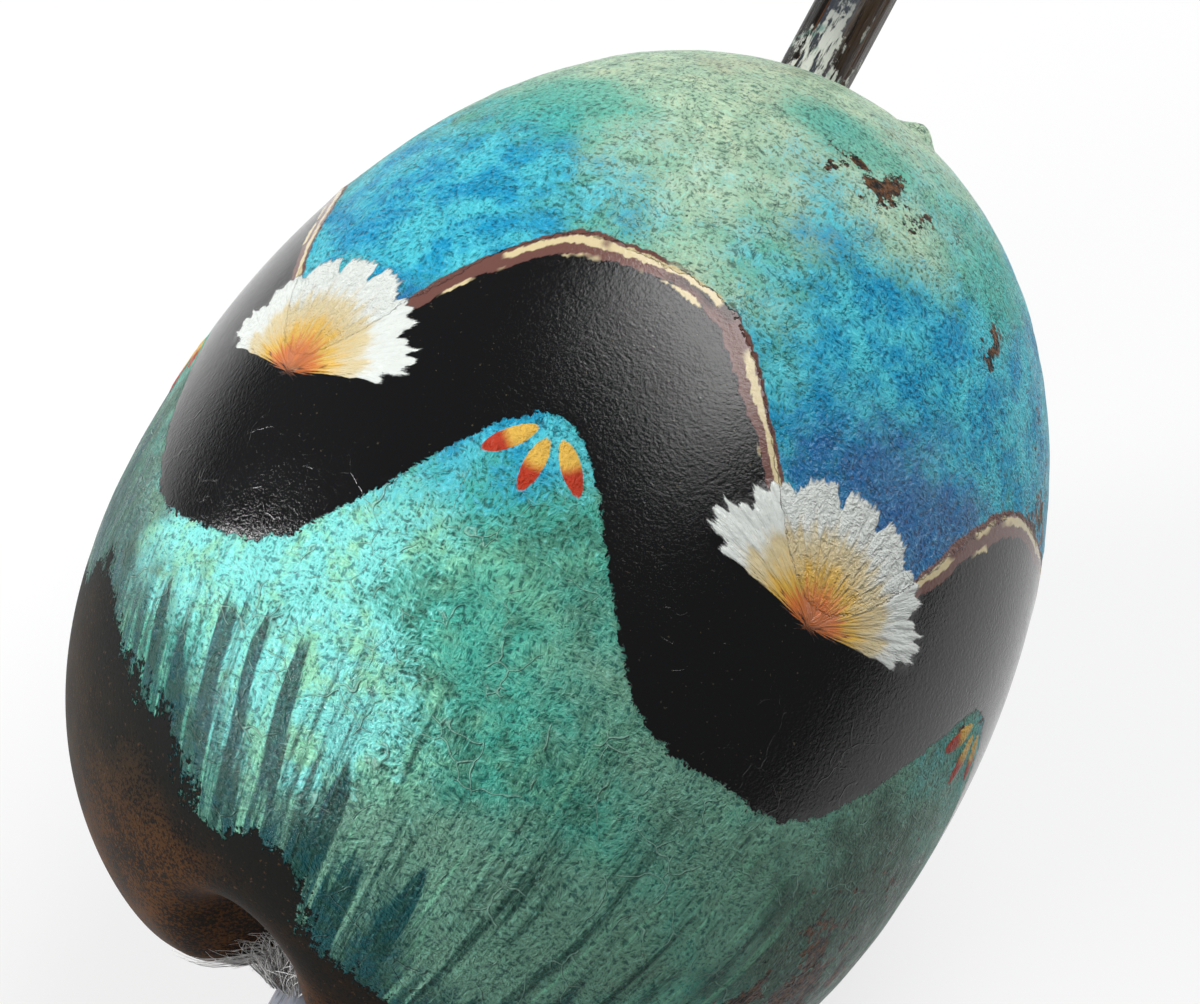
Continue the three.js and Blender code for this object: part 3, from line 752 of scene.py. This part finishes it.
raw = Finish("raw_inside")
raw.place = raw.read("own", "Vector")
fibres = raw.cloud(3.0, 4.0, detail=5, rough=0.7)
raw_colour = raw.mix(raw.step(fibres, 0.35, 0.65), (0.30, 0.20, 0.10), (0.50, 0.38, 0.22))
raw_shine = raw.step(fibres, 0.3, 0.7, 0.75, 0.92)
gourd.data.materials.append(raw.show(raw_colour, raw_shine, raw.relief(fibres, 0.5)))
print("varnished paint nodes:", len(paint.tree.nodes))

# %% [markdown]
# ## The stick
# The handle is one hardwood stick, whittled to eight flats and stained almost black. A knife leaves long
# shallow scoops and corners that are never quite sharp. So the section is an octagon with eased corners,
# swept along the stick with slow noise that shaves each flat by a little.

# %% Whittled stick
STICK_FLATS, STICK_SIDES = 10.8, 8
BUTT, TIP = -(GRIP_LENGTH + RIM_DEPTH), 116.607
END_CHAMFER, CORNER_EASE = 0.9, 0.45
EASE_WIDTH, FLAT_POINTS = 0.55, 9
KNIFE_CUT = 0.06  # taken off all round, so that the shaving stays inside the solid

side_angle = FULL_TURN / STICK_SIDES
half_flat = STICK_FLATS / 2 * np.tan(side_angle / 2)
across_flat = np.linspace(-1, 1, FLAT_POINTS)[:-1]
across_flat = np.sign(across_flat) * np.abs(across_flat) ** 0.7 * half_flat
flat_number = np.repeat(np.arange(STICK_SIDES), len(across_flat))
across = np.tile(across_flat, STICK_SIDES)
flat_turn = flat_number * side_angle
from_corner = half_flat - np.abs(across)
eased = CORNER_EASE * np.exp(-(from_corner / EASE_WIDTH) ** 2)
section_x = (STICK_FLATS / 2) * np.cos(flat_turn) - across * np.sin(flat_turn)
section_z = (STICK_FLATS / 2) * np.sin(flat_turn) + across * np.cos(flat_turn)
section_reach = np.hypot(section_x, section_z)

ends = np.array([0.0, 0.0, 0.15, 0.5, END_CHAMFER])
stations = np.concatenate([BUTT + ends, np.arange(BUTT + 2, TIP - 1.5, 1.0), TIP - ends[::-1]])
end_shrink = np.array([0.25, 0.80, 0.86, 0.93, 1.0])
shrink = np.ones(len(stations))
shrink[:5] = end_shrink
shrink[-5:] = end_shrink[::-1]
stick = np.zeros((len(stations), len(across), 3))
stick[..., 0] = section_x
stick[..., 1] = stations[:, None]
stick[..., 2] = section_z
shave = lumps(stick * (0.6, 0.09, 0.6), 3.0, 14.3) * 0.14 + lumps(stick * (1, 0.3, 1), 2.2, 25.1) * 0.035
slim = shrink[:, None] * (1 - (eased + KNIFE_CUT + np.maximum(shave, -0.05)) / section_reach)
stick[..., 0] *= slim
stick[..., 2] *= slim
handle = ring_object("whittled_stick", lay_down(stick))
note(handle, "own", stick)
up_facing = np.exp(-((np.degrees(flat_turn) - 90) / 25) ** 2)
for name, values in {"corner": from_corner, "sideways": np.cos(flat_turn), "facing": up_facing}.items():
    note(handle, name, np.broadcast_to(values, stick.shape[:2]))
settle(handle, "rattle", "handle_stick")
print("stick rings:", len(stations))

# %% [markdown]
# ## Stain, worn edges and spilt paint
# The stain sits dark in the grain and wears brown along the corners, where hands rub. The flats on the
# rattle's left are painted darker, as painted shade. Blue-grey blotches lie all over, and more of them on
# the upward flat, where that grey is a painted sheen; the grip is painted pale grey in blotches, most next
# to the gourd, as a painted sheen. Above the crown the flats carry feathered flakes of pale paint from
# painting the gourd. Noise drawn out along the stick gives the grain, the distance to the corner the wear,
# and the height the flakes.

# %% Stain
STAIN, DARK_STAIN, WORN = (0.050, 0.029, 0.014), (0.008, 0.006, 0.005), (0.19, 0.075, 0.026)
BLUE_GREY_AND_SHEEN, PAINTED_GRIP_SHEEN = (0.036, 0.047, 0.064), (0.34, 0.36, 0.42)
FLAKE, TEAL_FLAKE = (0.70, 0.72, 0.64), (0.06, 0.28, 0.22)

stain = Finish("dark_stain", Specular_IOR_Level=0.35)
stain.place = stain.read("own", "Vector")
grain_streak = stain.cloud(1.1, 2.0, detail=5, rough=0.65, stretch=(1, 0.05, 1))
blotch = stain.cloud(7, 6.0, stretch=(1, 0.3, 1))
pore = stain.cloud(0.35, 9.0, detail=3, stretch=(1, 0.12, 1))
facing = stain.read("facing")
# The flats on the rattle's left are painted darker, as painted shade.
grain_and_shade = stain.weigh((grain_streak, 1), (stain.read("sideways"), 0.16))
wood = stain.mix(stain.step(grain_and_shade, 0.42, 0.66), DARK_STAIN, STAIN)
# Grey blotches, with more on the upward flat, where the grey is a painted sheen.
greyed_and_sheen = stain.weigh((blotch, 1), (grain_streak, 1), (facing, 0.40))
wood = stain.mix(stain.step(greyed_and_sheen, 1.10, 1.45, 0.0, 0.8), wood, BLUE_GREY_AND_SHEEN)
apart = stain.node("SeparateXYZ")
stain.wire(apart.inputs[0], stain.place)
up_stick = apart.outputs["Y"]
# The grip is painted pale grey in blotches, most next to the gourd, as a painted sheen.
sheen_by_gourd = stain.step(up_stick, -92.0, -72.0, 0.0, 0.35)
grip_sheen = stain.step(stain.sum(greyed_and_sheen, sheen_by_gourd), 0.98, 1.30, 0.0, 0.8)
grip_sheen = stain.times(stain.step(up_stick, -62.0, -68.0), grip_sheen)
wood = stain.mix(grip_sheen, wood, PAINTED_GRIP_SHEEN)
wood = stain.mix(stain.step(pore, 0.60, 0.70, 0.0, 0.7), wood, DARK_STAIN)
corner = stain.weigh((stain.read("corner"), 1), (grain_streak, 1.3))
wood = stain.mix(stain.step(corner, 0.86, 0.50, 0.0, 0.85), wood, WORN)
over_crown = stain.times(stain.step(up_stick, 111.0, 88.0), stain.step(up_stick, 80.0, 84.0))
feather = stain.cloud(0.8, 15.0, detail=5, rough=0.7, stretch=(1, 0.14, 1))
chips = stain.cloud(3.2, 25.0, detail=4, rough=0.65)
flaked = stain.weigh((feather, 0.7), (chips, 0.9), (facing, 0.17), (over_crown, 0.34))
flaked = stain.step(flaked, 1.12, 1.20)
flaked = stain.times(stain.times(flaked, over_crown), stain.step(feather, 0.42, 0.50))
flake_colour = stain.mix(stain.step(stain.cloud(3.2, 19.0), 0.55, 0.66, 0.0, 0.7), FLAKE, TEAL_FLAKE)
wood = stain.mix(flaked, wood, flake_colour)
stain_shine = stain.weigh((stain.step(grain_streak, 0.3, 0.7, 0.22, 0.40), 1), (flaked, 0.15))
stain_height = stain.weigh((grain_streak, 0.8), (pore, -0.5), (flaked, 0.7))
handle.data.materials.append(stain.show(wood, stain_shine, stain.relief(stain_height, 0.22)))
print("stain nodes:", len(stain.tree.nodes))

# %% [markdown]
# ## The glue at the crown
# A bead of glue runs round the stick where it leaves the gourd. It is a soft fillet that clings to both, so
# its rings follow the slope of the crown, and slow noise makes it fuller here and thinner there.

# %% Glue bead
BEAD_COLUMNS, BEAD_RINGS = 96, 14
BEAD_INNER, BEAD_REACH, BEAD_RISE = 5.9, 1.75, 1.35

bead_turn = np.linspace(0, FULL_TURN, BEAD_COLUMNS, endpoint=False)[None, :]
bead_round = np.linspace(0, FULL_TURN, BEAD_RINGS, endpoint=False)[:, None]
bead_circle = np.stack([np.cos(bead_turn), np.sin(bead_turn), 0 * bead_turn], -1)
fullness = 0.86 + 0.14 * lumps(bead_circle * 5, 3.0, 8.8)
bead_out = BEAD_INNER + BEAD_REACH * fullness * (1 + np.cos(bead_round)) / 2
crown_rays = np.stack([bead_out * np.cos(bead_turn), 90 + 0 * bead_out, bead_out * np.sin(bead_turn)], -1)
crown_rays /= np.linalg.norm(crown_rays, axis=-1, keepdims=True)
crown_seat = skin_along(crown_rays)[..., 1]
climb = BEAD_RISE * fullness * np.maximum(np.sin(bead_round), 0) ** 0.8
climb = climb * (1.15 - (bead_out - BEAD_INNER) / 2.2)
bead = np.stack([bead_out * np.cos(bead_turn), crown_seat + 0.15 + climb, bead_out * np.sin(bead_turn)], -1)
glue_bead = ring_object("glue_bead", lay_down(bead), joined=True)
note(glue_bead, "own", bead)
settle(glue_bead, "rattle", "crown_glue_bead")

glue = Finish("dried_glue", Coat_Weight=0.5, Coat_Roughness=0.1)
glue.place = glue.read("own", "Vector")
haze = glue.cloud(2.2, 3.0, detail=4)
glue_colour = glue.mix(glue.step(haze, 0.4, 0.62), (0.42, 0.41, 0.31), (0.62, 0.60, 0.50))
glue_shine = glue.step(haze, 0.3, 0.7, 0.22, 0.42)
glue_bead.data.materials.append(glue.show(glue_colour, glue_shine, glue.relief(haze, 0.2)))
print("glue bead at", round(float(bead[..., 1].max()), 1), "mm above the belly")

# %% [markdown]
# ## The wound hide
# The strip of hide under the fur keeps its CAD solid, because it is a plain flat band and almost hidden. It
# only needs a leather finish: a mottled colour and fine creases.

# %% Hide
hide = Finish("raw_hide")
hide.place = hide.from_origin()
hide_crease = hide.cracks(1.6, 2.0)
hide_mottle = hide.cloud(5, 4.0, detail=4)
hide_colour = hide.mix(hide.step(hide_mottle, 0.35, 0.65), (0.22, 0.15, 0.10), (0.42, 0.32, 0.22))
hide_colour = hide.mix(hide.step(hide_crease, 0.12, 0.02, 0.0, 0.5), hide_colour, (0.10, 0.065, 0.04))
hide_normal = hide.relief(hide.sum(hide.step(hide_crease, 0.0, 0.15), hide_mottle), 0.25)
hide_shine = hide.step(hide_mottle, 0.3, 0.7, 0.7, 0.9)
strip = frame["nodes"]["fur_hide_strip"]
strip.data.materials.clear()
strip.data.materials.append(hide.show(hide_colour, hide_shine, hide_normal))
print("hide finish on", strip.name)

# %% [markdown]
# ## The fur
# The fur has a dense dark undercoat and longer silver guard hairs, which stand up out of the front fold in a
# tuft, with a few strays over the rim. Hair could be a particle system, but here each hair is a thin tapered
# mesh, so it exports as it is. Each one starts on the hide, bends out along the dimple and stays below the
# gourd.

# %% Hairs
HIDE_RADIUS, HAIR_SIDES, HAIR_JOINTS = 9.45, 3, 7


def hair_paths(turns, root, reach, rise, sway):
    """Middle lines of hairs from turns round the hide, with the lowest and highest root, reach and rise."""
    count = len(turns)
    root = chance.uniform(*root, (count, 1))
    reach = chance.uniform(*reach, (count, 1))
    rise = chance.uniform(*rise, (count, 1))
    bend = chance.uniform(0.1, 0.5, (count, 1))
    share = np.linspace(0, 1, HAIR_JOINTS)[None, :]
    out = HIDE_RADIUS + reach * (share * (1 + bend) - bend * share ** 2)
    swung = turns[:, None] + chance.normal(0, sway, (count, 1)) * share ** 1.3
    paths = np.stack([out * np.cos(swung), root + rise * share ** 1.5, out * np.sin(swung)], -1)
    x, upright_level, z = np.moveaxis(unleaned(paths), -1, 0)
    ceiling = base_line(x, z) - chance.uniform(0.25, 0.9, (count, 1))
    paths[..., 1] -= np.maximum(upright_level - ceiling, 0)
    return paths


def hair_object(name, paths, thickness):
    """Thin three-sided hairs, tapered to a tip, as one mesh."""
    count, joints = paths.shape[:2]
    ahead = np.gradient(paths, axis=1)
    ahead /= np.linalg.norm(ahead, axis=-1, keepdims=True)
    side = np.cross(ahead, [0.31, 0.22, 0.92])
    side /= np.linalg.norm(side, axis=-1, keepdims=True)
    other = np.cross(ahead, side)
    taper = thickness[:, None] * np.linspace(1, 0.12, joints)[None, :] / 2
    angles = np.arange(HAIR_SIDES) * FULL_TURN / HAIR_SIDES
    rims = [paths + taper[..., None] * (np.cos(a) * side + np.sin(a) * other) for a in angles]
    points = np.stack(rims, axis=2)
    index = np.arange(count * joints * HAIR_SIDES).reshape(count, joints, HAIR_SIDES)
    beside = np.roll(index, -1, axis=2)
    walls = np.stack([index[:, :-1], beside[:, :-1], beside[:, 1:], index[:, 1:]], -1).reshape(-1, 4)
    caps = np.concatenate([index[:, 0, ::-1], index[:, -1]]).reshape(-1, HAIR_SIDES)
    mesh = bpy.data.meshes.new(name)
    mesh.from_pydata(lay_down(points).reshape(-1, 3).tolist(), [], walls.tolist() + caps.tolist())
    mesh.shade_smooth()
    made = bpy.data.objects.new(name, mesh)
    bpy.context.scene.collection.objects.link(made)
    along_hair = np.broadcast_to(np.linspace(0, 1, joints)[None, :, None], index.shape)
    note(made, "along_hair", along_hair.reshape(1, -1))
    shade = np.broadcast_to(chance.uniform(0, 1, (count, 1, 1)), index.shape)
    note(made, "shade", shade.reshape(1, -1))
    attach(made, "rattle")
    return made


def all_round(count):
    return chance.uniform(0, FULL_TURN, count)


def about(count, middle, spread):
    return np.radians(chance.normal(middle, spread, count))


under_paths = np.concatenate([
    hair_paths(all_round(1500), (-63.5, -58.5), (1.5, 4.5), (-2.0, 2.0), 0.22),
    hair_paths(about(400, 104, 16), (-64.5, -58.5), (2.0, 5.5), (-1.0, 4.0), 0.25),
])
guard_paths = np.concatenate([
    hair_paths(all_round(120), (-63.5, -60.0), (3.0, 6.0), (-2.0, 2.0), 0.3),
    hair_paths(about(190, 102, 10), (-66.0, -61.0), (4.0, 12.0), (3.0, 13.0), 0.20),
    hair_paths(about(26, 100, 16), (-66.0, -62.0), (8.0, 14.0), (0.0, 9.0), 0.35),
    hair_paths(about(7, 92, 18), (-64.5, -62.0), (11.0, 18.0), (-3.0, 7.0), 0.5),
])
underfur = hair_object("underfur", under_paths, chance.uniform(0.10, 0.17, len(under_paths)))
guard_hairs = hair_object("guard_hairs", guard_paths, chance.uniform(0.18, 0.30, len(guard_paths)))
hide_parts("fur_collar")
print("hairs:", len(under_paths) + len(guard_paths))

# %% Fur finishes


def hair_finish(name, root_dark, root_pale, tip_dark, tip_pale):
    hair = Finish(name, Sheen_Weight=0.3)
    shade = hair.read("shade")
    root = hair.mix(shade, root_dark, root_pale)
    tip = hair.mix(shade, tip_dark, tip_pale)
    colour = hair.mix(hair.step(hair.read("along_hair"), 0.1, 0.7), root, tip)
    hair.wire(hair.shader.inputs["Base Color"], colour)
    hair.wire(hair.shader.inputs["Roughness"], hair.step(shade, 0.0, 1.0, 0.45, 0.65))
    return hair.material


underfur.data.materials.append(hair_finish(
    "dark_undercoat", (0.012, 0.011, 0.010), (0.06, 0.052, 0.046), (0.035, 0.032, 0.029), (0.28, 0.27, 0.26)))
guard_hairs.data.materials.append(hair_finish(
    "silver_guard_hairs", (0.22, 0.215, 0.21), (0.75, 0.74, 0.73), (0.80, 0.79, 0.78), (0.92, 0.92, 0.91)))
print("fur finished")

# %% [markdown]
# ## The pebbles
# Two dozen small stones lie loose in the gourd. Nobody sees them, but they are what makes the sound, and each
# one can rise until it meets the stick or the ceiling. Their plain solids are smoothed by subdivision, as a
# river would, and get a veined finish.

# %% Pebbles
stone = Finish("river_pebble")
stone.place = stone.from_origin()
vein = stone.cloud(2.6, 2.0, detail=5, rough=0.7)
stone_tone = stone.cloud(16, 6.0, detail=1)
stone_colour = stone.mix(stone.step(stone_tone, 0.35, 0.65), (0.20, 0.17, 0.145), (0.42, 0.38, 0.33))
stone_colour = stone.mix(stone.step(vein, 0.5, 0.7, 0.0, 0.6), stone_colour, (0.11, 0.095, 0.085))
stone_finish = stone.show(stone_colour, stone.step(vein, 0.3, 0.7, 0.55, 0.8), stone.relief(vein, 0.3))

pebble_nodes = sorted(name for name in frame["nodes"] if name.startswith("pebble_"))
for name in pebble_nodes:
    mesh = frame["nodes"][name].data.copy()
    made = bpy.data.objects.new("worn_" + name, mesh)
    bpy.context.scene.collection.objects.link(made)
    mesh.shade_smooth()
    mesh.materials.clear()
    mesh.materials.append(stone_finish)
    rounding = made.modifiers.new("rounding", "SUBSURF")
    rounding.levels = rounding.render_levels = 2
    settle(made, name, name)
print("pebbles:", len(pebble_nodes))

# %% [markdown]
# ## The table
# The rattle lies on a white table. White paint alone would look grey under a plain light, and brighter lamps
# would bleach the rattle. So the table glows a little, but only to rays that look at it straight or in a
# gloss. The rest of what they see is lit paint, so the shadow stays. To other rays the table is grey, and in
# a gloss it fades to grey far from the rattle, so that it does not light the rattle from below or lay a veil
# on the black.

# %% Table
TABLE_SIZE, TABLE_DROP, GLOW_SHARE = 8.0, 0.0002, 0.70
WHITE_REACH, FADED_REACH = 0.30, 0.90  # metres from the rattle
TABLE_WHITE, TABLE_GREY = (0.95, 0.95, 0.95), (0.22, 0.22, 0.22)

table = bpy.data.objects.new("table", bpy.data.meshes.new("table"))
half = TABLE_SIZE / 2
table_corners = [(x, y, -TABLE_DROP) for x, y in ((-half, -half), (half, -half), (half, half), (-half, half))]
table.data.from_pydata(table_corners, [], [(0, 1, 2, 3)])
bpy.context.scene.collection.objects.link(table)
white = Finish("white_table", Roughness=0.8, Specular_IOR_Level=0.1)
ray = white.node("LightPath").outputs
from_rattle = white.node("VectorMath", operation="LENGTH")
white.wire(from_rattle.inputs[0], white.node("TexCoord").outputs["Object"])
near = white.step(from_rattle.outputs["Value"], WHITE_REACH, FADED_REACH, 1.0, 0.0)
in_gloss = white.times(white.sum(ray["Is Glossy Ray"], ray["Is Transmission Ray"], "MAXIMUM"), near)
seen = white.sum(ray["Is Camera Ray"], in_gloss, "MAXIMUM")
white.wire(white.shader.inputs["Base Color"], white.mix(seen, TABLE_GREY, TABLE_WHITE))
glow = white.node("Emission")
glow.inputs["Strength"].default_value = 1.0
blend = white.node("MixShader")
white.wire(blend.inputs[0], white.times(seen, GLOW_SHARE))
white.wire(blend.inputs[1], white.shader.outputs[0])
white.wire(blend.inputs[2], glow.outputs[0])
white.wire(white.tree.nodes["Material Output"].inputs["Surface"], blend.outputs[0])
table.data.materials.append(white.material)
print("table", TABLE_SIZE, "m wide")

# %% [markdown]
# ## The light
# One large soft box hangs on the far side over the crown. Its sheen lies along the top of the varnish, and
# the side towards the camera stays deep. A small bright lamp to the left picks out the relief of the paint
# and gives it glints, and a pale card beside the grip lifts the fur out of the shadow. The room around is
# dim, brighter at the horizon than at the ceiling, but a camera that looks past the table sees it pale.

# %% World
ROOM = {"From Min": 0.05, "From Max": 0.45, "To Min": 0.14, "To Max": 0.10}
SEEN = {"Is Camera Ray": 0.80, "Is Transmission Ray": 0.80, "Is Glossy Ray": 0.15}

world = bpy.data.worlds.new("studio")
bpy.context.scene.world = world
world.use_nodes = True
sky = world.node_tree
direction = sky.nodes.new("ShaderNodeSeparateXYZ")
sky.links.new(sky.nodes.new("ShaderNodeTexCoord").outputs["Generated"], direction.inputs[0])
lift = sky.nodes.new("ShaderNodeMapRange")
sky.links.new(direction.outputs["Z"], lift.inputs["Value"])
for socket, number in ROOM.items():
    lift.inputs[socket].default_value = number
sky_ray = sky.nodes.new("ShaderNodeLightPath").outputs
strength = lift.outputs[0]
for kind, seen_strength in SEEN.items():
    shown = sky.nodes.new("ShaderNodeMath")
    shown.operation = "MULTIPLY"
    sky.links.new(sky_ray[kind], shown.inputs[0])
    shown.inputs[1].default_value = seen_strength
    brighter = sky.nodes.new("ShaderNodeMath")
    brighter.operation = "MAXIMUM"
    sky.links.new(strength, brighter.inputs[0])
    sky.links.new(shown.outputs[0], brighter.inputs[1])
    strength = brighter.outputs[0]
sky.links.new(strength, sky.nodes["Background"].inputs["Strength"])
sky.nodes["Background"].inputs["Color"].default_value = (0.96, 0.98, 1.0, 1)
print("world nodes:", len(sky.nodes))


# %% Lamps
def soft_box(name, towards, distance, width, depth, power):
    """A lamp that looks at the belly, with its distance and size in metres and its power in watts."""
    lamp = bpy.data.lights.new(name, "AREA")
    lamp.shape = "RECTANGLE"
    lamp.size, lamp.size_y, lamp.energy = width, depth, power
    made = bpy.data.objects.new(name, lamp)
    bpy.context.scene.collection.objects.link(made)
    way = Vector(towards).normalized()
    made.location = Vector(belly) + way * distance
    made.rotation_euler = way.to_track_quat("Z", "Y").to_euler()


soft_box("box_over_crown", (0.53, -0.18, 0.83), 0.9, 0.72, 0.52, 7.0)
soft_box("lamp_left", (-0.42, 0.83, 0.34), 0.95, 0.22, 0.22, 5.2)
soft_box("card_at_grip", (-0.80, 0.35, 0.45), 0.7, 0.30, 0.30, 2.0)
print("lamps:", len(bpy.data.lights))

# %% [markdown]
# ## The camera
# The camera stands close over the handle's right side and looks down along the gourd, so the gourd fills the
# picture and the handle leaves it at the lower left.

# %% Camera
IMAGE_WIDTH = 1200
AZIMUTH, ELEVATION = np.radians(-60.789), np.radians(55.0)
DISTANCE, PIXEL = 430.0, 0.144  # millimetres, and millimetres to a pixel at the belly
AIM_RIGHT, AIM_UP = 9.855, 14.034  # from the belly to the middle of the picture, in millimetres

level_out = np.cos(ELEVATION)
back = np.array([np.sin(AZIMUTH) * level_out, -np.cos(AZIMUTH) * level_out, np.sin(ELEVATION)])
sideways = np.array([np.cos(AZIMUTH), np.sin(AZIMUTH), 0.0])
upwards = np.cross(back, sideways)
aim = belly + (sideways * AIM_RIGHT + upwards * AIM_UP) * MM

camera = bpy.data.objects.new("camera", bpy.data.cameras.new("camera"))
bpy.context.scene.collection.objects.link(camera)
camera.location = Vector(aim + back * DISTANCE * MM)
camera.rotation_euler = Vector(back).to_track_quat("Z", "Y").to_euler()
camera.data.lens = camera.data.sensor_width * DISTANCE / PIXEL / IMAGE_WIDTH
camera.data.clip_start = 0.01
bpy.context.scene.camera = camera
bpy.context.scene.view_settings.view_transform = "Standard"
print("lens:", round(camera.data.lens, 2), "mm")
